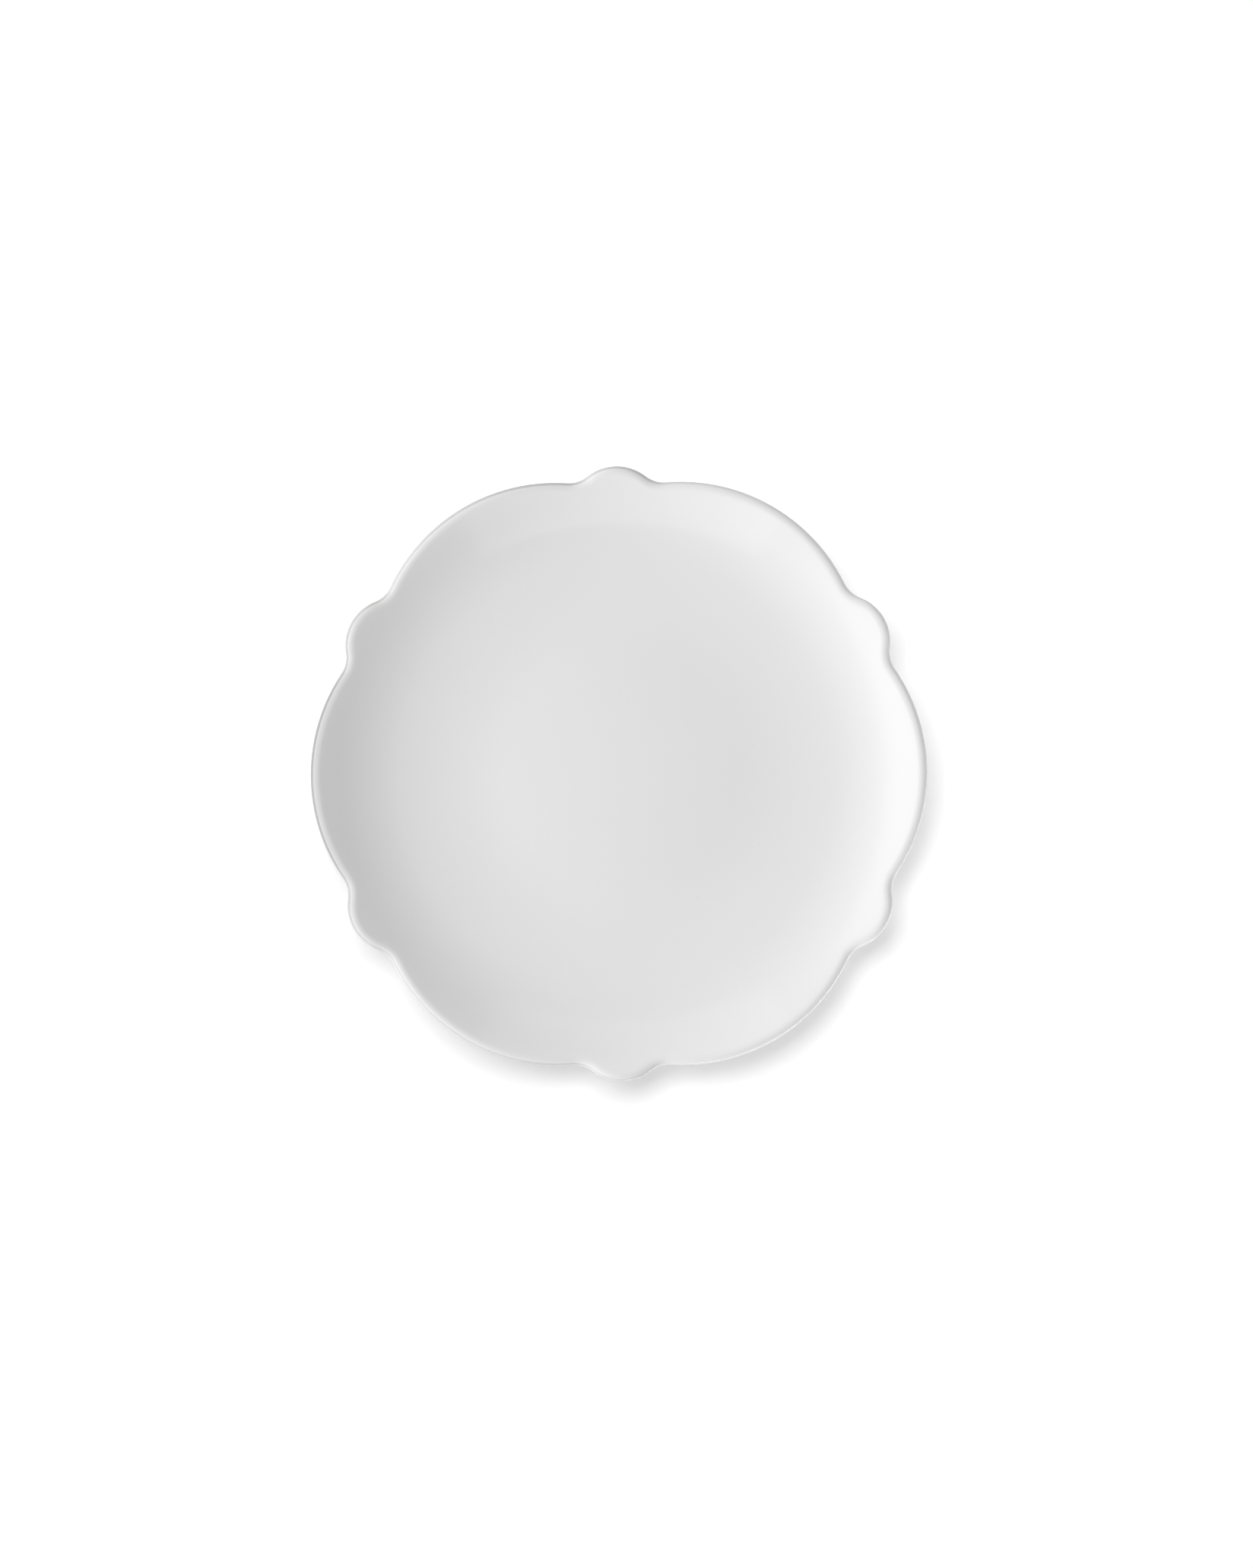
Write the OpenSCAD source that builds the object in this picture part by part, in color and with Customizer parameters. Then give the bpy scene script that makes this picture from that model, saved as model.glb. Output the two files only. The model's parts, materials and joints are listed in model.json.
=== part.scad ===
// Scalloped dessert plate: a fired white body that stands on a foot ring, under two coats of glaze.
// Millimetres, +Z up, origin on the table at the plate's centre. A broad lobe lies on +X.
// The outline is a chain of tangent arcs. The face is one turned curve that the outline cuts,
// so the lip is highest at the lobes and dips at the hollows between them.

/* [Outline] */
// Width across two opposite broad lobes
plate_w = 210; // [206:1:216]
// Number of broad lobes, and of small lobes between them
lobes = 6; // [5:1:7]
// Reach of a small lobe's tip from the plate's centre
small_reach = 104.7; // [103:0.1:106]
// Radius of a broad lobe's arc
broad_r = 62.8; // [60:0.2:66]
// Radius of a small lobe's arc
small_r = 16.4; // [15:0.2:18]
// Radius of the hollow that joins two lobes
hollow_r = 10; // [8:0.5:12]

/* [Dish] */
// Height of the face at the centre, above the table
face_h = 6.6; // [6:0.1:8]
// Radius of the flat middle
flat_r = 40; // [30:1:45]
// Radius of the slow curve that rises from the flat middle
rise_r = 200; // [180:5:260]
// Distance from the centre at which the tighter curve of the shoulder starts
shoulder_at = 75; // [72:1:78]
// Radius of the shoulder's curve
shoulder_r = 72; // [66:1:80]
// Slope of the straight flare that runs up to the lip, in degrees
flare = 27; // [24:0.5:29]
// Thickness of the wall at the centre, measured upright
well_t = 4.2; // [3.6:0.1:4.6]
// Thickness of the wall at the lip, measured upright
rim_t = 3.8; // [3.2:0.1:4.2]
// Distance in from the edge at which the lip starts to round over
lip_w = 3.4; // [3:0.1:4]
// Share of the wall's thickness that lies above the lip's outermost point
lip_crown = 0.65; // [0.5:0.05:0.7]

/* [Foot ring] */
// Radius of the middle of the standing edge
foot_r = 60; // [57:0.5:62]
// Width of the flat standing edge
foot_w = 3.6; // [3:0.1:4.5]
// Lean of the foot's two walls from upright, in degrees
foot_lean = 10; // [6:1:14]
// Radius of the hollow where each wall runs into the plate's back
foot_root = 2; // [1.5:0.1:2.2]
// Radius of the standing edge's two corners
foot_corner = 0.5; // [0.3:0.1:0.8]

/* [Glaze] */
// Thickness of the glaze
glaze_t = 0.25; // [0.2:0.05:0.4]
// Height of the bare band that the glaze leaves round the standing edge
bare_h = 0.8; // [0.7:0.1:1.2]

/* [Fineness] */
// Steps along half of a broad lobe
broad_steps = 5; // [4:1:6]
// Steps along a hollow
hollow_steps = 3; // [2:1:4]
// Steps along half of a small lobe
small_steps = 3; // [2:1:4]
// Steps round the lip, from the face to the back
lip_steps = 8; // [6:2:10]
// Steps round the slow rise, and round the shoulder
dish_steps = 3; // [2:1:4]
// Columns of the dish inside the rim, from one broad lobe to the next
dish_sector = 12; // [8:2:14]
// Steps round each of the foot's root hollows
root_steps = 6; // [4:1:8]
// Steps round each corner of the standing edge
corner_steps = 3; // [2:1:4]

/* [Hidden] */
$fn = 96;
// Overshoot of a cut past the face that it opens
eps = 0.01;

// One sector runs from a broad lobe's axis to the next, and its middle is a small lobe's axis
sector = 360 / lobes;
broad_c = [plate_w / 2 - broad_r, 0];
small_c = (small_reach - small_r) * dir(sector / 2);
// The hollow's arc touches both lobes' arcs, so its centre is at their radii plus its own
span = norm(small_c - broad_c);
along = ((broad_r + hollow_r) ^ 2 - (small_r + hollow_r) ^ 2 + span ^ 2) / (2 * span);
aside = sqrt((broad_r + hollow_r) ^ 2 - along ^ 2);
axis = (small_c - broad_c) / span;
hollow_c = broad_c + along * axis + aside * [axis.y, -axis.x];
broad_end = angle_of(hollow_c - broad_c);
small_start = angle_of(hollow_c - small_c);

// The face's curve in four stretches: flat, slow rise, shoulder and straight flare
rise_end = asin((shoulder_at - flat_r) / rise_r);
shoulder_h = rise_r * (1 - cos(rise_end));
flare_at = shoulder_at + shoulder_r * (sin(flare) - sin(rise_end));
flare_h = shoulder_h + shoulder_r * (cos(rise_end) - cos(flare));

// The rim is drawn in rings that follow the outline, as far in from the edge as this
rim_w = 12;
// The dish inside it is drawn in even circles, out to this radius
dish_r = 85;
dish_columns = dish_sector * lobes;

// The flat ceiling of the recess inside the foot ring
recess_h = face_h - well_t;
// How far the foot's root arcs cut up into the plate's back, so that they cross it cleanly
root_bite = 0.1;
// Top of the foot ring's solid, which is inside the plate's wall
foot_top = recess_h + well_t / 2;

function dir(a) = [cos(a), sin(a)];
function angle_of(v) = atan2(v.y, v.x);
function mixed(a, b, t) = a + (b - a) * t;
function clamped(x, low, high) = min(max(x, low), high);

// Height of the face over the table, at a distance from the centre
function face_z(r) = face_h + (
    r <= flat_r ? 0
    : r <= shoulder_at ? rise_r - sqrt(rise_r ^ 2 - (r - flat_r) ^ 2)
    : r <= flare_at ? shoulder_h + shoulder_r * (cos(rise_end) - cos(slope(r)))
    : flare_h + (r - flare_at) * tan(flare)
);

// Slope of the face there, in degrees
function slope(r) =
    r <= flat_r ? 0
    : r <= shoulder_at ? asin((r - flat_r) / rise_r)
    : r <= flare_at ? asin(sin(rise_end) + (r - shoulder_at) / shoulder_r)
    : flare;

// Upright thickness of the wall there: it thins over the shoulder
function wall_t(r) = mixed(well_t, rim_t, clamped((r - shoulder_at) / (flare_at - shoulder_at), 0, 1));

// A column of the outline is [arc centre, signed arc radius, angle of the outward normal]
function half_sector() = concat(
    [for (k = [0 : broad_steps]) [broad_c, broad_r, broad_end * k / broad_steps]],
    [for (k = [1 : hollow_steps]) [hollow_c, -hollow_r, mixed(broad_end, small_start, k / hollow_steps)]],
    [for (k = [1 : small_steps]) [small_c, small_r, mixed(small_start, sector / 2, k / small_steps)]]
);

function mirrored(c) = [norm(c[0]) * dir(sector - angle_of(c[0])), c[1], sector - c[2]];
function turned(c, a) = [norm(c[0]) * dir(angle_of(c[0]) + a), c[1], c[2] + a];

function outline_columns() =
    let (half = half_sector(), last = len(half) - 1)
    [
        for (n = [0 : lobes - 1], k = [0 : 2 * last - 1])
            turned(k <= last ? half[k] : mirrored(half[2 * last - k]), n * sector)
    ];

columns = outline_columns();

// A point of the rim on one column, at a distance in from the edge. turn is 0 on the face, 180 on
// the back and between the two round the lip, which is a quarter of an ellipse above its outermost
// point and a flatter quarter below. skin is how far inside the finished surface the point lies.
function rim_point(c, inset, turn, skin) =
    let (
        outward = dir(c[2]),
        xy = c[0] + (c[1] - inset) * outward,
        r = norm(xy),
        above = lip_crown * wall_t(r),
        quarter_h = turn < 90 ? above : wall_t(r) - above,
        // Direction of travel along the section as it rounds the lip, outwards and upwards
        out = lip_w * cos(turn),
        up = tan(slope(r)) * (xy * outward) / r * out - quarter_h * sin(turn),
        normal = [-up, out] / norm([out, up]),
        at = xy - skin * normal.x * outward
    )
    [at.x, at.y, face_z(r) - above + quarter_h * cos(turn) - skin * normal.y];

function rim_ring(inset, turn, skin) = [for (c = columns) rim_point(c, inset, turn, skin)];

// Rings of the dish: even circles, on the face and on the back
function circle_ring(r, z) = [
    for (k = [0 : dish_columns - 1])
        let (d = dir(360 * k / dish_columns)) [r * d.x, r * d.y, z]
];

function face_ring(r, skin) =
    circle_ring(r + skin * sin(slope(r)), face_z(r) - skin * cos(slope(r)));

function back_ring(r, skin) =
    circle_ring(r - skin * sin(slope(r)), face_z(r) - wall_t(r) + skin * cos(slope(r)));

// All rings of the plate without its foot, from the face's middle out over the lip to the back's
function plate_rings(skin) = concat(
    [for (k = [0 : dish_steps - 1]) face_ring(mixed(flat_r, shoulder_at, k / dish_steps), skin)],
    [for (r = [shoulder_at, (shoulder_at + dish_r) / 2, dish_r]) face_ring(r, skin)],
    [for (inset = [rim_w, (rim_w + lip_w) / 2]) rim_ring(inset, 0, skin)],
    [
        for (k = [0 : lip_steps])
            let (turn = 180 * k / lip_steps) rim_ring(lip_w * (1 - sin(turn)), turn, skin)
    ],
    [rim_ring(rim_w, 180, skin)],
    [for (r = [dish_r, (shoulder_at + dish_r) / 2, shoulder_at]) back_ring(r, skin)],
    // The last two rings are inside the foot ring, where the back steps down to the recess
    [for (r = [(foot_r + shoulder_at) / 2, foot_r + foot_w / 4]) back_ring(r, skin)],
    [circle_ring(foot_r - foot_w / 4, recess_h + skin)]
);

// Where each ring starts in the list of points, and last of all where the list ends
function starts(rings, k = 0, from = 0) =
    k == len(rings) ? [from] : concat([from], starts(rings, k + 1, from + len(rings[k])));

// Triangles between two rings that have the same columns
function even_band(a, b, n) = [
    for (k = [0 : n - 1])
        let (next = (k + 1) % n)
        each [[a + k, a + next, b + next], [a + k, b + next, b + k]]
];

// Polar angle of a ring's point, counted on past the end of the first sector
function polar(ring, k) = k == len(ring) / lobes ? sector : angle_of(ring[k]);

// Triangles of one sector between rings with unlike columns: the side whose next point has the
// smaller polar angle moves on. i and j are the columns reached on the two rings.
function uneven_sector(ring_a, ring_b, i = 0, j = 0) =
    let (
        na = len(ring_a) / lobes,
        nb = len(ring_b) / lobes,
        on_a = j == nb || (i < na && polar(ring_a, i + 1) <= polar(ring_b, j + 1))
    )
    i == na && j == nb ? []
    : on_a ? concat([[[0, i], [0, i + 1], [1, j]]], uneven_sector(ring_a, ring_b, i + 1, j))
    : concat([[[0, i], [1, j + 1], [1, j]]], uneven_sector(ring_a, ring_b, i, j + 1));

function uneven_band(a, b, ring_a, ring_b) =
    let (sizes = [len(ring_a), len(ring_b)], from = [a, b])
    [
        for (n = [0 : lobes - 1], t = uneven_sector(ring_a, ring_b))
            [for (p = t) from[p[0]] + (p[1] + n * sizes[p[0]] / lobes) % sizes[p[0]]]
    ];

// The plate without its foot, as one closed surface over its rings. skin is how far inside the
// finished surface it lies, so 0 gives the glazed plate and glaze_t the fired body.
module plate_form(skin) {
    rings = plate_rings(skin);
    from = starts(rings);
    last = len(rings) - 1;
    face_middle = from[last + 1];
    back_middle = face_middle + 1;
    bands = [
        for (k = [0 : last - 1])
            each len(rings[k]) == len(rings[k + 1])
                ? even_band(from[k], from[k + 1], len(rings[k]))
                : uneven_band(from[k], from[k + 1], rings[k], rings[k + 1])
    ];
    face_fan = [for (k = [0 : dish_columns - 1]) [face_middle, (k + 1) % dish_columns, k]];
    back_fan = [
        for (k = [0 : dish_columns - 1])
            [back_middle, from[last] + k, from[last] + (k + 1) % dish_columns]
    ];
    middles = [[0, 0, face_h - skin], [0, 0, recess_h + skin]];
    polyhedron(
        points = concat([for (ring = rings) each ring], middles),
        faces = concat(face_fan, bands, back_fan)
    );
}

// Points along an arc
function arc(centre, r, a, b, steps) = [for (k = [0 : steps]) centre + r * dir(mixed(a, b, k / steps))];

// One side of the foot ring's section, from the standing edge up into the wall: each point is its
// distance from the ring's middle and its height. top is the height at which the side runs into
// the plate's back.
function foot_side(top, skin) =
    let (
        corner = [foot_w / 2 + (glaze_t - skin) / cos(foot_lean), foot_corner],
        // How far the wall's plane is from the section's origin, along the wall's own normal
        wall = corner * dir(-foot_lean) + foot_corner,
        root_z = top - foot_root + root_bite,
        root_x = (wall + foot_root + skin + root_z * sin(foot_lean)) / cos(foot_lean)
    )
    concat(
        arc(corner, foot_corner, -90, -foot_lean, corner_steps),
        arc([root_x, root_z], foot_root + skin, 180 - foot_lean, 90, root_steps),
        [[root_x, foot_top]]
    );

// The foot ring, turned as one with the plate and sunk into its wall
module foot_form(skin) {
    outer = foot_side(face_z(foot_r + foot_w / 2 + foot_root) - well_t, skin);
    inner = foot_side(recess_h, skin);
    rotate_extrude()
        polygon(concat(
            [for (p = outer) [foot_r + p.x, p.y]],
            [for (k = [len(inner) - 1 : -1 : 0]) [foot_r - inner[k].x, inner[k].y]]
        ));
}

// The fired body: the wall and its foot ring are one piece of clay
module porcelain_body() {
    color("linen") {
        plate_form(glaze_t);
        foot_form(glaze_t);
    }
}

// The coat over the face, round the lip and down the back to the foot's outer wall
module face_glaze() {
    color("white")
        difference() {
            union() {
                plate_form(0);
                foot_form(0);
            }
            plate_form(glaze_t);
            foot_form(glaze_t);
            // The recess has its own coat
            translate([0, 0, -eps]) cylinder(r = foot_r, h = foot_top);
            // The bare band round the standing edge
            translate([0, 0, -eps]) cylinder(r = foot_r + foot_w + foot_root, h = bare_h + eps);
        }
}

// The coat over the recess inside the foot ring, down its inner wall to the bare band
module base_glaze() {
    color("white")
        difference() {
            intersection() {
                union() {
                    translate([0, 0, recess_h]) cylinder(r = foot_r, h = glaze_t);
                    foot_form(0);
                }
                translate([0, 0, bare_h]) cylinder(r = foot_r, h = recess_h + glaze_t - bare_h);
            }
            foot_form(glaze_t);
        }
}

porcelain_body();
face_glaze();
base_glaze();
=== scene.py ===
# Scalloped dessert plate: white gloss glaze over a body of fired clay, seen from straight above.
# The plate stands on the floor with a broad lobe towards +X. Lengths are in metres.

import json
from math import asin, atan2, cos, pi, radians, sin, sqrt, tan, tau

import bmesh
import bpy
from mathutils import Matrix, Vector


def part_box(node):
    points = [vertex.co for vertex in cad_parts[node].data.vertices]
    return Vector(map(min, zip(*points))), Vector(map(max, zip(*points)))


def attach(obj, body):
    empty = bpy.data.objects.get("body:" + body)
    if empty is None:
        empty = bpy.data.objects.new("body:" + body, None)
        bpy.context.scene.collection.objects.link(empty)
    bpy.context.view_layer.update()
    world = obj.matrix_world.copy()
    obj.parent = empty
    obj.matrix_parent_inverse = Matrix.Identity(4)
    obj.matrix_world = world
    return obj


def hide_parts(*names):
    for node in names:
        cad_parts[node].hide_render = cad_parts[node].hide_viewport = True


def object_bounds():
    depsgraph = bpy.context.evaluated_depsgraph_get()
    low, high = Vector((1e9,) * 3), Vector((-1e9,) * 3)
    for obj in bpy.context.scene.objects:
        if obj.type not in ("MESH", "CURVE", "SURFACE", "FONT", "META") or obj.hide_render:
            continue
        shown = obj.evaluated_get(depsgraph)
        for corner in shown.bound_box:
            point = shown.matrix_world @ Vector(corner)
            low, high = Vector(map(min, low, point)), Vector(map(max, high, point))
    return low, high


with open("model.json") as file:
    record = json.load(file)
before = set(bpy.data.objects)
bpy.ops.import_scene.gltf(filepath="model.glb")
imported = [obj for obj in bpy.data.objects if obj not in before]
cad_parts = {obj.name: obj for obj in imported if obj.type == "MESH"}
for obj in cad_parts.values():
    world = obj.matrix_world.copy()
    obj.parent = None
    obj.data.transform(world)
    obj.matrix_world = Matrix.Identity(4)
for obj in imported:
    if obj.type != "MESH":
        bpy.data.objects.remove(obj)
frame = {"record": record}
cad_low, cad_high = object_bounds()

# Camera
# It looks straight down from two metres over the lip. In the picture the plate lies a little left of
# the middle and above it, and is turned by half a degree.
MM = 0.001
frame_w_px = 1648
frame_h_px = 2062
plate_at_px = Vector((814.2, 1017.6))
plate_turn = radians(0.5)
camera_above_lip = 2
lip_below_crown = 2.5 * MM
# What the picture takes in from top to bottom, at the lip's height
lip_view_h = 534.1 * MM
# In a tall picture the sensor's width lies from top to bottom
sensor_w = 36

lip_z = cad_high.z - lip_below_crown
metres_per_px = lip_view_h / frame_h_px
aside = (frame_w_px / 2 - plate_at_px.x) * metres_per_px
below = (frame_h_px / 2 - plate_at_px.y) * metres_per_px
camera_xy = Matrix.Rotation(-plate_turn, 2) @ Vector((aside, -below))

bpy.ops.object.camera_add(location=(*camera_xy, lip_z + camera_above_lip), rotation=(0, 0, -plate_turn))
camera = bpy.context.object
camera.name = "camera"
camera.data.sensor_width = sensor_w
camera.data.lens = sensor_w * camera_above_lip / lip_view_h
bpy.context.scene.camera = camera

# Fired body
# Clay pressed to a scalloped dish and turned with a foot ring, fired hard in one piece. The glaze hides
# all but the standing edge of the ring, which is wiped clean so that it doesn't stick in the kiln.
finished_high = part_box("face_glaze")[1]
body_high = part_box("porcelain_body")[1]
reach = finished_high.x
small_reach = finished_high.y
glaze_t = reach - body_high.x
well_h = next(mount["pos_m"][2] for mount in frame["record"]["mounts"] if mount["name"] == "well")
recess_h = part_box("base_glaze")[1].z - glaze_t

# The outline is a chain of tangent arcs: broad lobe, hollow, small lobe
lobes = 6
broad_r = 62.8 * MM
small_r = 16.4 * MM
hollow_r = 10 * MM
broad_steps = 12
hollow_steps = 10
small_steps = 10

# The face is flat in the middle, then a slow rise, a tighter shoulder and a straight flare
flat_r = 40 * MM
rise_r = 200 * MM
shoulder_at = 75 * MM
shoulder_r = 72 * MM
flare = radians(27)
well_t = well_h - recess_h
rim_t = 3.8 * MM
lip_w = 3.4 * MM
# The share of the lip's thickness that lies above its outermost point
lip_crown = 0.65
# The rings are round as far out as dish_r, and follow the outline over the last rim_w
dish_r = 85 * MM
rim_w = 12 * MM

# The foot ring leans in a little to its standing edge
foot_r = 60 * MM
foot_w = 3.6 * MM
foot_lean = radians(10)
foot_root = 2 * MM
foot_corner = 0.5 * MM

# The smallest ring of the face and of the recess, and the one halfway out to the foot
hub_r = 4 * MM
recess_mid_r = 30 * MM


def direction(angle):
    """A vector of length 1 at an angle from +X."""
    return Vector((cos(angle), sin(angle)))


def angle_of(v):
    return atan2(v.y, v.x)


def spaced(start, end, steps):
    """Evenly spaced values from start to end, both of them included."""
    return [start + (end - start) * k / steps for k in range(steps + 1)]


sector = tau / lobes
broad_c = direction(0) * (reach - broad_r)
small_c = direction(sector / 2) * (small_reach - small_r)
span = (small_c - broad_c).length
along = ((broad_r + hollow_r) ** 2 - (small_r + hollow_r) ** 2 + span**2) / (2 * span)
away = sqrt((broad_r + hollow_r) ** 2 - along**2)
axis = (small_c - broad_c) / span
hollow_c = broad_c + along * axis + away * Vector((axis.y, -axis.x))
broad_end = angle_of(hollow_c - broad_c)
small_start = angle_of(hollow_c - small_c)

# A column of the outline: the arc's centre, its radius (minus in a hollow) and the way it faces
half_sector = [(broad_c, broad_r, facing) for facing in spaced(0, broad_end, broad_steps)]
for facing in spaced(broad_end, small_start, hollow_steps)[1:]:
    half_sector.append((hollow_c, -hollow_r, facing))
for facing in spaced(small_start, sector / 2, small_steps)[1:]:
    half_sector.append((small_c, small_r, facing))


def mirrored(column):
    """The column's twin in the other half of the sector."""
    centre, radius, facing = column
    return centre.length * direction(sector - angle_of(centre)), radius, sector - facing


def turned(column, turn):
    """The column, turned about the plate's middle."""
    centre, radius, facing = column
    return Matrix.Rotation(turn, 2) @ centre, radius, facing + turn


# The other half mirrors all but the two tips
one_sector = half_sector + [mirrored(column) for column in half_sector[-2:0:-1]]
columns = [turned(column, n * sector) for n in range(lobes) for column in one_sector]

rise_end = asin((shoulder_at - flat_r) / rise_r)
shoulder_h = rise_r * (1 - cos(rise_end))
flare_at = shoulder_at + shoulder_r * (sin(flare) - sin(rise_end))
flare_h = shoulder_h + shoulder_r * (cos(rise_end) - cos(flare))


def slope(r):
    """Slope of the face at a distance from the centre."""
    if r <= flat_r:
        return 0
    if r <= shoulder_at:
        return asin((r - flat_r) / rise_r)
    if r <= flare_at:
        return asin(sin(rise_end) + (r - shoulder_at) / shoulder_r)
    return flare


def face_z(r):
    """Height of the finished face over the table."""
    if r <= flat_r:
        return well_h
    if r <= shoulder_at:
        return well_h + rise_r * (1 - cos(slope(r)))
    if r <= flare_at:
        return well_h + shoulder_h + shoulder_r * (cos(rise_end) - cos(slope(r)))
    return well_h + flare_h + (r - flare_at) * tan(flare)


def wall_t(r):
    """Upright thickness of the finished wall, which thins over the shoulder."""
    share = (r - shoulder_at) / (flare_at - shoulder_at)
    return well_t + (rim_t - well_t) * min(max(share, 0), 1)


def rim_point(column, inset, turn, skin):
    """A point near the edge, inset from the outline. turn goes from 0 on the face round the lip to pi on
    the back, and skin is how far under the finished surface the point lies."""
    centre, radius, facing = column
    outward = direction(facing)
    place = centre + (radius - inset) * outward
    r = place.length
    above = lip_crown * wall_t(r)
    quarter_h = above if turn < pi / 2 else wall_t(r) - above
    travel = lip_w * cos(turn)
    climb = tan(slope(r)) * place.dot(outward) / r * travel - quarter_h * sin(turn)
    normal = Vector((-climb, travel)).normalized()
    sunk = place - skin * normal.x * outward
    return Vector((*sunk, face_z(r) - above + quarter_h * cos(turn) - skin * normal.y))


def rim_ring(inset, turn, skin):
    return [rim_point(column, inset, turn, skin) for column in columns]


# Inside the rim the rings are round, with each column in line with its place on the rim
bearings = [angle_of(rim_point(column, rim_w, 0, 0)) for column in columns]


def round_ring(r, z):
    return [Vector((*(r * direction(bearing)), z)) for bearing in bearings]


def side_point(r, side, skin):
    """A point of the face (side 1) or the back (side -1), skin deep under the finished surface."""
    z = face_z(r) if side > 0 else face_z(r) - wall_t(r)
    return r + side * skin * sin(slope(r)), z - side * skin * cos(slope(r))


def side_rings(radii, side, skin):
    return [round_ring(*side_point(r, side, skin)) for r in radii]


def blend_rings(side, skin, steps):
    """Rings between the round dish and the scalloped rim, all on the same turned surface."""
    turn = 0 if side > 0 else pi
    rings = []
    for share in spaced(0, 1, steps)[1:-1]:
        ring = []
        for column, bearing in zip(columns, bearings):
            rim_r = rim_point(column, rim_w, turn, 0).xy.length
            r, z = side_point(dish_r + (rim_r - dish_r) * share, side, skin)
            ring.append(Vector((*(r * direction(bearing)), z)))
        rings.append(ring)
    return rings


def face_rings(skin, fineness):
    """From the middle of the face to where the lip starts to round over."""
    radii = spaced(hub_r, flat_r, 3) + spaced(flat_r, shoulder_at, 4 * fineness)[1:]
    radii += spaced(shoulder_at, dish_r, 2 * fineness)[1:]
    rings = side_rings(radii, 1, skin) + blend_rings(1, skin, 2 * fineness)
    return rings + [rim_ring(inset, 0, skin) for inset in spaced(rim_w, lip_w, 3 * fineness)[:-1]]


def lip_rings(skin, steps):
    """Round the lip, in section a quarter of an ellipse above its outermost point and a flatter one
    below."""
    return [rim_ring(lip_w * (1 - sin(turn)), turn, skin) for turn in spaced(0, pi, steps)]


def wall_x(z, skin):
    """How far the foot's wall is from the middle of the ring, at a height."""
    wall = foot_w / 2 * cos(foot_lean) + glaze_t - skin + foot_corner * (1 - sin(foot_lean))
    return (wall + z * sin(foot_lean)) / cos(foot_lean)


# The hollow where the outer wall runs into the back touches both: its centre is a radius away from
# the wall's line and from the arc of the back
up_wall = Vector((sin(foot_lean), cos(foot_lean)))
off_wall = Vector((cos(foot_lean), -sin(foot_lean)))
wall_foot = Vector((foot_r + wall_x(0, 0), 0)) + foot_root * off_wall
back_c = Vector((flat_r, well_h - well_t + rise_r))
to_back = back_c - wall_foot
reach_up = to_back.dot(up_wall)
outer_root_c = wall_foot + up_wall * (
    reach_up - sqrt(reach_up**2 - to_back.length_squared + (rise_r + foot_root) ** 2)
)
outer_root_end = angle_of(back_c - outer_root_c)
inner_root_z = recess_h - foot_root
inner_root_x = wall_x(inner_root_z, 0) + foot_root / cos(foot_lean)


def outer_root(skin, steps):
    """Points (r, z) of the outer root hollow, from the back down to the foot's wall."""
    turns = spaced(outer_root_end, pi - foot_lean, steps)
    return [outer_root_c + (foot_root + skin) * direction(turn) for turn in turns]


def inner_root(skin, steps):
    """Points (r, z) of the inner root hollow, from the recess's ceiling down to the foot's wall."""
    centre = Vector((foot_r - inner_root_x, inner_root_z))
    turns = spaced(pi / 2, foot_lean, steps)
    return [centre + (foot_root + skin) * direction(turn) for turn in turns]


def back_rings(skin, fineness):
    """From the lip down the back to the foot's outer wall."""
    rings = [rim_ring(inset, pi, skin) for inset in spaced(lip_w, rim_w, 2 * fineness)[1:]]
    rings += reversed(blend_rings(-1, skin, fineness))
    root = outer_root(skin, 3 * fineness)
    root_r = root[0].x + skin * sin(slope(root[0].x))
    radii = spaced(dish_r, shoulder_at, fineness) + spaced(shoulder_at, root_r, 2 * fineness)[1:-1]
    rings += side_rings(radii, -1, skin)
    return rings + [round_ring(*point) for point in root]


def standing_edge(skin, steps):
    """Points (r, z) of the foot's two corners, from the outer wall to the inner one."""
    corner_x = foot_w / 2 + (glaze_t - skin) / cos(foot_lean)
    turns = spaced(-foot_lean, -pi / 2, steps)
    corner = [Vector((corner_x, foot_corner)) + foot_corner * direction(turn) for turn in turns]
    outer = [(foot_r + point.x, point.y) for point in corner]
    return outer + [(foot_r - point.x, point.y) for point in reversed(corner)]


def loft(name, rings, edge_share=()):
    """A closed piece drawn through the rings, from the first ring's middle to the last one's. Optional
    shares, one for each ring, are kept on its points; the glaze material paints shade along the lip's edge
    by them."""
    edge_share = edge_share or [0] * len(rings)
    # The first column lies on +X, so it sorts first only with a little slack
    slack = 0.003
    crease = radians(40)
    bpy.ops.object.select_all(action="DESELECT")
    bpy.ops.mesh.primitive_circle_add(vertices=len(columns), radius=rings[0][0].length)
    piece = bpy.context.object
    piece.name = piece.data.name = name
    bpy.ops.object.mode_set(mode="EDIT")
    bpy.ops.mesh.select_mode(type="VERT")
    bpy.ops.mesh.select_all(action="SELECT")
    for ring, share in zip(rings, edge_share):
        if ring is not rings[0]:
            bpy.ops.mesh.extrude_edges_move()
        mesh = bmesh.from_edit_mesh(piece.data)
        shares = mesh.verts.layers.float.get("edge_share") or mesh.verts.layers.float.new("edge_share")
        edge = [vertex for vertex in mesh.verts if vertex.select]
        edge.sort(key=lambda vertex: (angle_of(vertex.co) + slack) % tau)
        for vertex, point in zip(edge, ring):
            vertex.co = point
            vertex[shares] = share
        bmesh.update_edit_mesh(piece.data)
    # The last ring closes to a point, and then the first, which is the only open edge left
    bpy.ops.mesh.extrude_edges_move()
    bpy.ops.mesh.merge(type="CENTER")
    bpy.ops.mesh.select_all(action="DESELECT")
    bpy.ops.mesh.select_non_manifold()
    bpy.ops.mesh.extrude_edges_move()
    bpy.ops.mesh.merge(type="CENTER")
    bpy.ops.mesh.select_all(action="SELECT")
    bpy.ops.mesh.normals_make_consistent(inside=False)
    bpy.ops.object.mode_set(mode="OBJECT")
    bpy.ops.object.shade_smooth_by_angle(angle=crease)
    return piece


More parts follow.
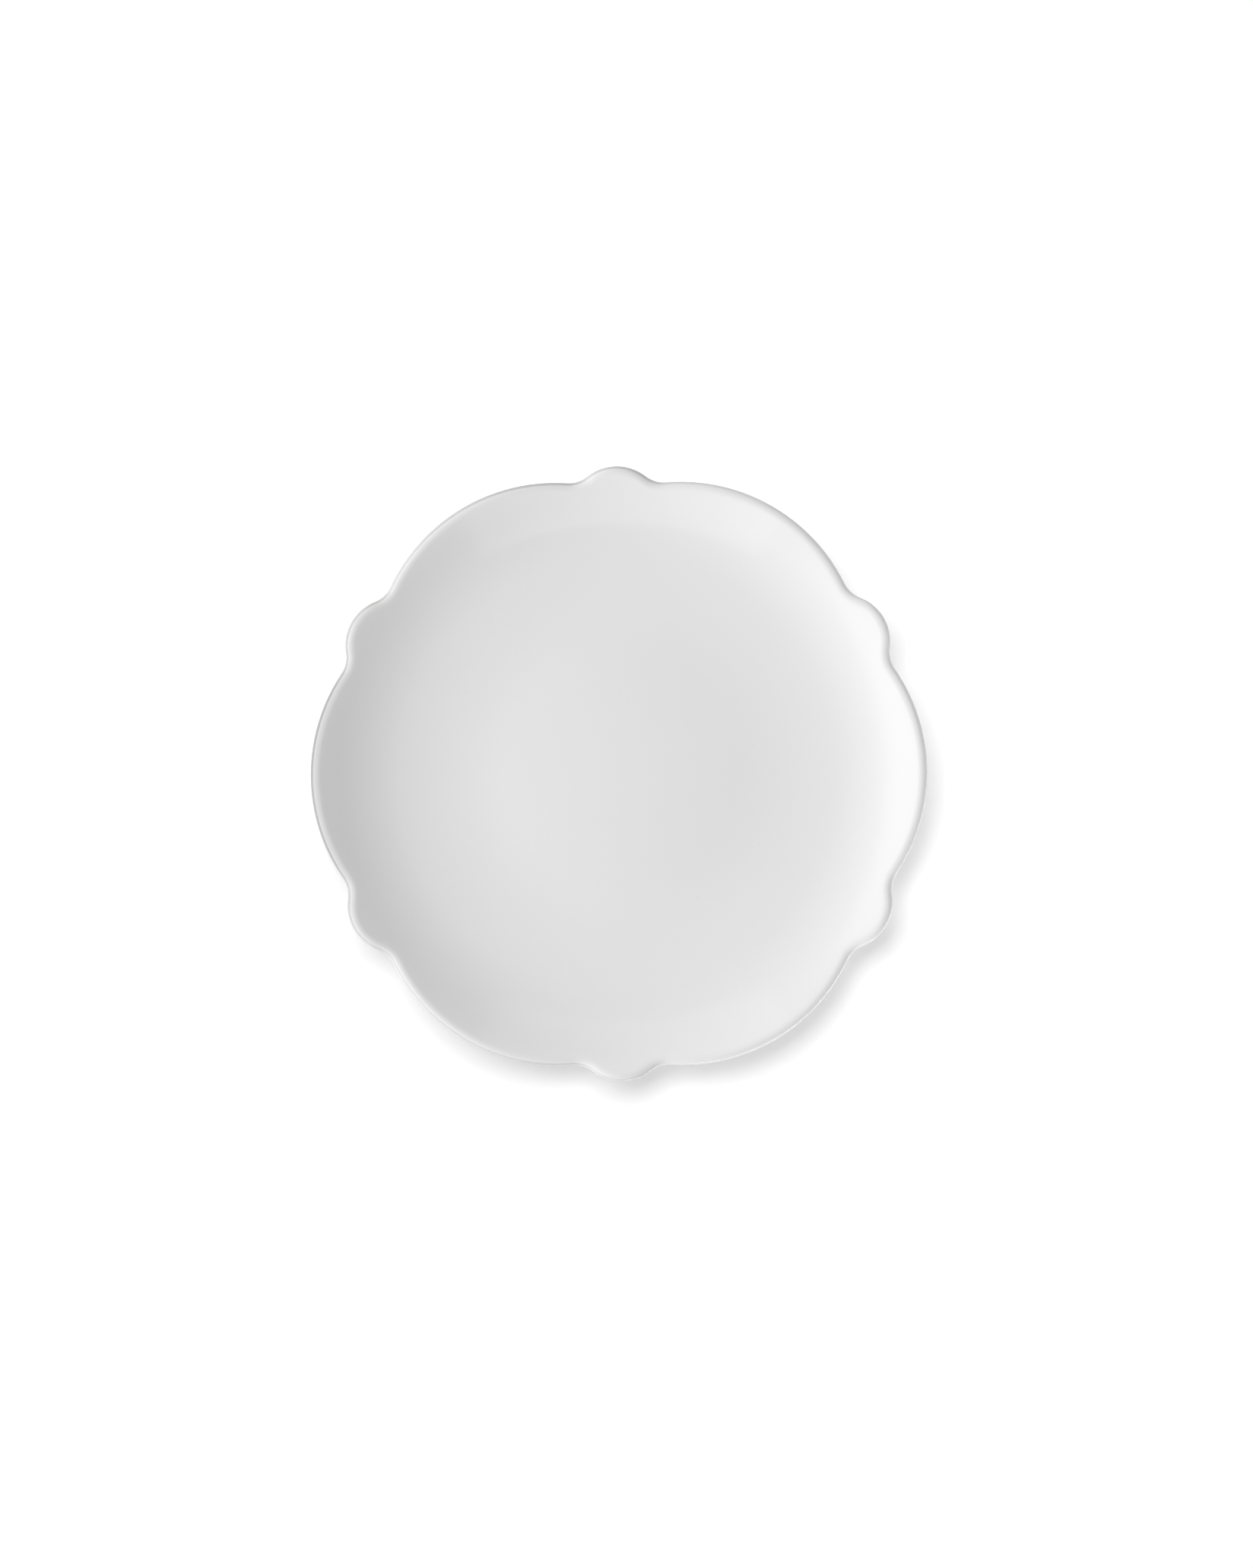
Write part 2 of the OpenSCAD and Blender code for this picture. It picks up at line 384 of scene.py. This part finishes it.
rings = face_rings(glaze_t, fineness=2) + lip_rings(glaze_t, steps=12) + back_rings(glaze_t, fineness=2)
rings += [round_ring(*point) for point in standing_edge(glaze_t, steps=6)]
rings += [round_ring(*point) for point in reversed(inner_root(glaze_t, steps=8))]
rings += [round_ring(r, recess_h + glaze_t) for r in (recess_mid_r, hub_r)]
fired_body = loft("fired_body", rings)


class Value:
    """One output of a shader node. A sum or product of values adds its own Math node."""

    def __init__(self, output):
        self.output = output
        self.tree = output.id_data

    def node(self, kind, settings, sockets, output=0):
        """Adds a node, with its settings first and then what its sockets take."""
        made = self.tree.nodes.new(kind)
        for name, setting in settings.items():
            setattr(made, name, setting)
        for name, taken in sockets.items():
            if isinstance(taken, Value):
                self.tree.links.new(taken.output, made.inputs[name])
            else:
                made.inputs[name].default_value = taken
        return Value(made.outputs[output]) if made.outputs else None

    def math(self, operation, other):
        return self.node("ShaderNodeMath", {"operation": operation}, {0: self, 1: other})

    def __add__(self, other):
        return self.math("ADD", other)

    def __sub__(self, other):
        return self.math("SUBTRACT", other)

    def __rsub__(self, other):
        return self.node("ShaderNodeMath", {"operation": "SUBTRACT"}, {0: other, 1: self})

    def __mul__(self, other):
        return self.math("MULTIPLY", other)

    __radd__ = __add__
    __rmul__ = __mul__

    def ramp(self, low, high):
        """0 at low, 1 at high and smooth between them."""
        kind = {"interpolation_type": "SMOOTHSTEP"}
        return self.node("ShaderNodeMapRange", kind, {"Value": self, "From Min": low, "From Max": high})

    def mix(self, first, second):
        """first where this value is 0 and second where it is 1, both colours."""
        sockets = {0: self, 6: first, 7: second}
        return self.node("ShaderNodeMix", {"data_type": "RGBA"}, sockets, output=2)

    def noise(self, size, detail=2, roughness=0.5):
        """Noise about its middle, from -1 to 1, with lumps of a size in metres."""
        sockets = {"Vector": self, "Scale": 1 / size, "Detail": detail, "Roughness": roughness}
        return self.node("ShaderNodeTexNoise", {}, sockets) * 2 - 1


def new_material(name):
    """An empty material, and a point's place on the piece as its nodes read it."""
    material = bpy.data.materials.new(name)
    material.use_nodes = True
    material.node_tree.nodes.clear()
    coordinates = material.node_tree.nodes.new("ShaderNodeTexCoord")
    return material, Value(coordinates.outputs["Object"])


def finish_material(place, shader):
    """Joins the shader to the material's output."""
    place.node("ShaderNodeOutputMaterial", {}, {"Surface": shader})


clay_colour = (0.78, 0.755, 0.71, 1)
rubbed_colour = (0.52, 0.5, 0.47, 1)
clay_roughness = 0.62
grain_w = 0.35 * MM
grain_depth = 0.05 * MM
patch_w = 7 * MM
rubbed_h = 0.3 * MM
clay, place = new_material("fired_clay")
grain = place.noise(grain_w, detail=4, roughness=0.7)
patches = place.noise(patch_w)
# Use has rubbed the standing edge darker, unevenly and more in some patches than in others
height = place.node("ShaderNodeSeparateXYZ", {}, {0: place}, output="Z")
uneven_height = height + grain * (rubbed_h / 3)
rubbed = (1 - uneven_height.ramp(rubbed_h / 6, rubbed_h)) * (patches * 0.5 + 0.4)
colour = rubbed.mix(clay_colour, rubbed_colour)
bump = place.node("ShaderNodeBump", {}, {"Strength": 0.5, "Distance": grain_depth, "Height": grain})
surface = {"Base Color": colour, "Roughness": grain * 0.08 + clay_roughness, "Normal": bump}
finish_material(place, place.node("ShaderNodeBsdfPrincipled", {}, surface))
fired_body.data.materials.append(clay)
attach(fired_body, "root")
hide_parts("porcelain_body")

# Outer glaze
# A quarter-millimetre coat of white gloss glaze, poured over the face, round the lip and down the back
# as far as the foot's outer wall. It is melted on in the kiln and ends there in a rounded bead.
bare_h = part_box("face_glaze")[0].z
bead_h = 0.35 * MM
bead_steps = 6
wander = 0.12 * MM


def bead_rings(side):
    """The glaze's lower end on the foot's outer wall (side 1) or inner wall (side -1)."""
    rings = []
    for turn in spaced(0, pi / 2, bead_steps):
        ring = []
        for bearing in bearings:
            waves = 1 + 0.6 * sin(5 * bearing + side) + 0.4 * sin(13 * bearing)
            z = bare_h + wander * waves + bead_h * (1 - sin(turn))
            r = foot_r + side * wall_x(z, glaze_t * (1 - cos(turn)))
            ring.append(Vector((*(r * direction(bearing)), z)))
        rings.append(ring)
    return rings


# A share on the lip's points, 1 at the edge and 0 a little way in, by which the glaze material paints
# shade along the edge.
edge_share_w = 2.4 * MM
lip_steps = 40
rings = face_rings(0, fineness=3)
edge_share = [0] * len(rings)
rings += lip_rings(0, lip_steps)
edge_share += [max(1 - lip_w * (1 - sin(turn)) / edge_share_w, 0) for turn in spaced(0, pi, lip_steps)]
rings += back_rings(0, fineness=3) + bead_rings(1)
inside = face_rings(glaze_t, fineness=1) + lip_rings(glaze_t, steps=12)
inside += back_rings(glaze_t, fineness=1)
rings += reversed(inside)
edge_share += [0] * (len(rings) - len(edge_share))
outer_glaze = loft("outer_glaze", rings, edge_share)

glaze_colour = (0.8, 0.8, 0.8, 1)
cloud_colour = (0.785, 0.785, 0.785, 1)
# The colour of the painted shade along the lip's edge
edge_shade_colour = (0.34, 0.337, 0.33, 1)
speck_colour = (0.5, 0.48, 0.45, 1)
glaze_roughness = 0.085
cloud_w = 45 * MM
ripple_w = 6 * MM
ripple_h = 0.005 * MM
speck_w = 0.5 * MM
speck_cell = 22 * MM
speck_share = 0.25
speck_strength = 0.5
speck_from_h = 5 * MM
speck_full_h = 6 * MM
glaze, place = new_material("gloss_glaze")
clouds = place.noise(cloud_w, detail=3)
ripple = place.noise(ripple_w, detail=1)

# Specks of iron, each in a cell of its own and only in a share of the cells. They run through the plate
# from top to bottom, so the upright lip and foot go without.
flat_cells = {"voronoi_dimensions": "2D"}
cells = {"Vector": place, "Scale": 1 / speck_cell, "Randomness": 0.9}
speck_away = place.node("ShaderNodeTexVoronoi", flat_cells, cells) * speck_cell
cell_colour = place.node("ShaderNodeTexVoronoi", flat_cells, cells, output="Color")
chance = place.node("ShaderNodeSeparateColor", {}, {0: cell_colour})
speck = (1 - speck_away.ramp(0, speck_w / 2)) * chance.math("LESS_THAN", speck_share) * speck_strength
edge = place.node("ShaderNodeAttribute", {"attribute_name": "edge_share"}, {}, output="Fac")
height = place.node("ShaderNodeSeparateXYZ", {}, {0: place}, output="Z")
speck = speck * (1 - edge.ramp(0, 0.1)) * height.ramp(speck_from_h, speck_full_h)

# Painted shade: a dark line along the edge, strongest on the lobe at -X with a lighter band of painted
# shade inside it, and hardly any on the other side of the plate. leftward is 1 at that lobe's tip.
shade_line_share = 0.5
shade_band_share = 0.3
leftward = place.node("ShaderNodeSeparateXYZ", {}, {0: place}, output="X") * (-1 / reach)
left_lobe = leftward.ramp(0.8, 0.96)
painted_shade_line = edge.ramp(0.54, 0.7) * (leftward.ramp(-0.6, 0.3) + left_lobe) * shade_line_share
painted_shade_band = edge.ramp(0, 0.6) * left_lobe * shade_band_share

colour = (clouds * 0.5 + 0.5).mix(glaze_colour, cloud_colour)
# Paints the shade line and band into the glaze's colour
colour = painted_shade_line.math("MAXIMUM", painted_shade_band).mix(colour, edge_shade_colour)
colour = speck.mix(colour, speck_colour)
bump = place.node("ShaderNodeBump", {}, {"Distance": ripple_h, "Height": ripple})
surface = {"Base Color": colour, "Roughness": clouds * 0.015 + glaze_roughness, "Normal": bump}
finish_material(place, place.node("ShaderNodeBsdfPrincipled", {}, surface))
outer_glaze.data.materials.append(glaze)
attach(outer_glaze, "root")
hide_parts("face_glaze")

# Recess glaze
# The same glaze on the plate's underside, inside the foot ring. It runs down the ring's inner wall and
# ends in a bead like the outer one.
rings = [round_ring(r, recess_h) for r in (hub_r, recess_mid_r)]
rings += [round_ring(*point) for point in inner_root(0, steps=10)] + bead_rings(-1)
rings += [round_ring(*point) for point in reversed(inner_root(glaze_t, steps=6))]
rings += [round_ring(r, recess_h + glaze_t) for r in (recess_mid_r, hub_r)]
recess_glaze = loft("recess_glaze", rings)
recess_glaze.data.materials.append(glaze)
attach(recess_glaze, "root")
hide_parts("base_glaze")

# Floor
# A plain white table. Its glow is only seen, straight or in a reflection, and doesn't light the plate.
# A lamp that lights nothing else gives it the plate's soft shadow.
floor_w = 8
floor_gap = 0.02 * MM
table_white = (0.8, 0.8, 0.8, 1)
table_glow = 0.46


def seen(value):
    """1 on the rays that show the surroundings, straight or in a reflection, and 0 on others."""
    camera, glossy, through = [
        value.node("ShaderNodeLightPath", {}, {}, output=f"Is {kind} Ray")
        for kind in ("Camera", "Glossy", "Transmission")
    ]
    return camera.math("MAXIMUM", glossy.math("MAXIMUM", through))


bpy.ops.object.select_all(action="DESELECT")
bpy.ops.mesh.primitive_plane_add(size=floor_w, location=(0, 0, -floor_gap))
floor = bpy.context.object
floor.name = "floor"
white, place = new_material("white_table")
glow = place.node("ShaderNodeEmission", {}, {"Strength": seen(place) * table_glow})
paper = place.node("ShaderNodeBsdfDiffuse", {}, {"Color": table_white})
finish_material(place, place.node("ShaderNodeAddShader", {}, {0: glow, 1: paper}))
floor.data.materials.append(white)

# Light
# A large soft lamp from the left models the plate. White boards on three sides show in the gloss of its
# wall, a low card lights the lip on the right and a strip on the table edges it at the lower right. The
# table's own lamp hangs almost overhead, towards the upper left.


def lamp(name, place, aim, width, height, luminance, lit):
    """A flat soft lamp at a place, facing a point and lighting only the given objects. A luminance of 1
    is that of a white wall in full light."""
    bpy.ops.object.light_add(type="AREA", location=place)
    made = bpy.context.object
    made.name = name
    made.data.shape = "RECTANGLE"
    made.data.size = width
    made.data.size_y = height
    made.data.energy = luminance * pi * width * height
    made.rotation_euler = (Vector(place) - Vector(aim)).to_track_quat("Z", "Y").to_euler()
    receivers = bpy.data.collections.new(name + "_lights")
    for piece in lit:
        receivers.objects.link(piece)
    made.light_linking.receiver_collection = receivers
    made.visible_camera = False
    return made


def aloft(azimuth, elevation, distance):
    """A place over the table, at angles in degrees and a distance from the plate's middle."""
    azimuth = radians(azimuth)
    elevation = radians(elevation)
    return Vector((*(cos(elevation) * direction(azimuth)), sin(elevation))) * distance


plate = [fired_body, outer_glaze, recess_glaze]
middle = (0, 0, well_h)


def board(name, place, aim, width, height, luminance, lift=0):
    """A white board that stands upright on the table, or a little over it. The place and the point that
    it faces are (x, y)."""
    z = height / 2 + lift
    lamp(name, (*place, z), (*aim, z), width, height, luminance, plate)


side_lamp = lamp("side_lamp", aloft(184, 32, 1.1), middle, width=1.5, height=0.8, luminance=4.4, lit=plate)
side_lamp.visible_glossy = False
board("side_board", (-0.9, 0), (0, 0), width=1.6, height=1.04, luminance=0.45)
board("back_board", (-0.06, 0.8), (-0.06, 0), width=0.957, height=1.36, luminance=0.5)
board("front_board", (-0.015, -0.8), (-0.015, 0), width=1.01, height=1.3, luminance=0.8)
low_card = lamp("low_card", aloft(20, 8, 1), middle, width=0.7, height=0.26, luminance=5.4, lit=plate)
low_card.visible_glossy = False
strip_away = 0.3
strip_at = strip_away * direction(radians(314))
board("rim_strip", strip_at, (0, 0), width=0.56, height=15 * MM, luminance=16, lift=MM)
lamp("table_lamp", aloft(123, 68.5, 8), middle, width=5.6, height=3.4, luminance=7.2, lit=[floor])

# The room is white where it is seen, and a small share of that lights the plate
room_light = 0.15
world = bpy.data.worlds.new("white_room")
bpy.context.scene.world = world
world.use_nodes = True
world.node_tree.nodes.clear()
facing = Value(world.node_tree.nodes.new("ShaderNodeTexCoord").outputs["Generated"])
strength = seen(facing) * (1 - room_light) + room_light
room = facing.node("ShaderNodeBackground", {}, {"Color": (1, 1, 1, 1), "Strength": strength})
facing.node("ShaderNodeOutputWorld", {}, {"Surface": room})

bpy.context.scene.view_settings.view_transform = "Standard"
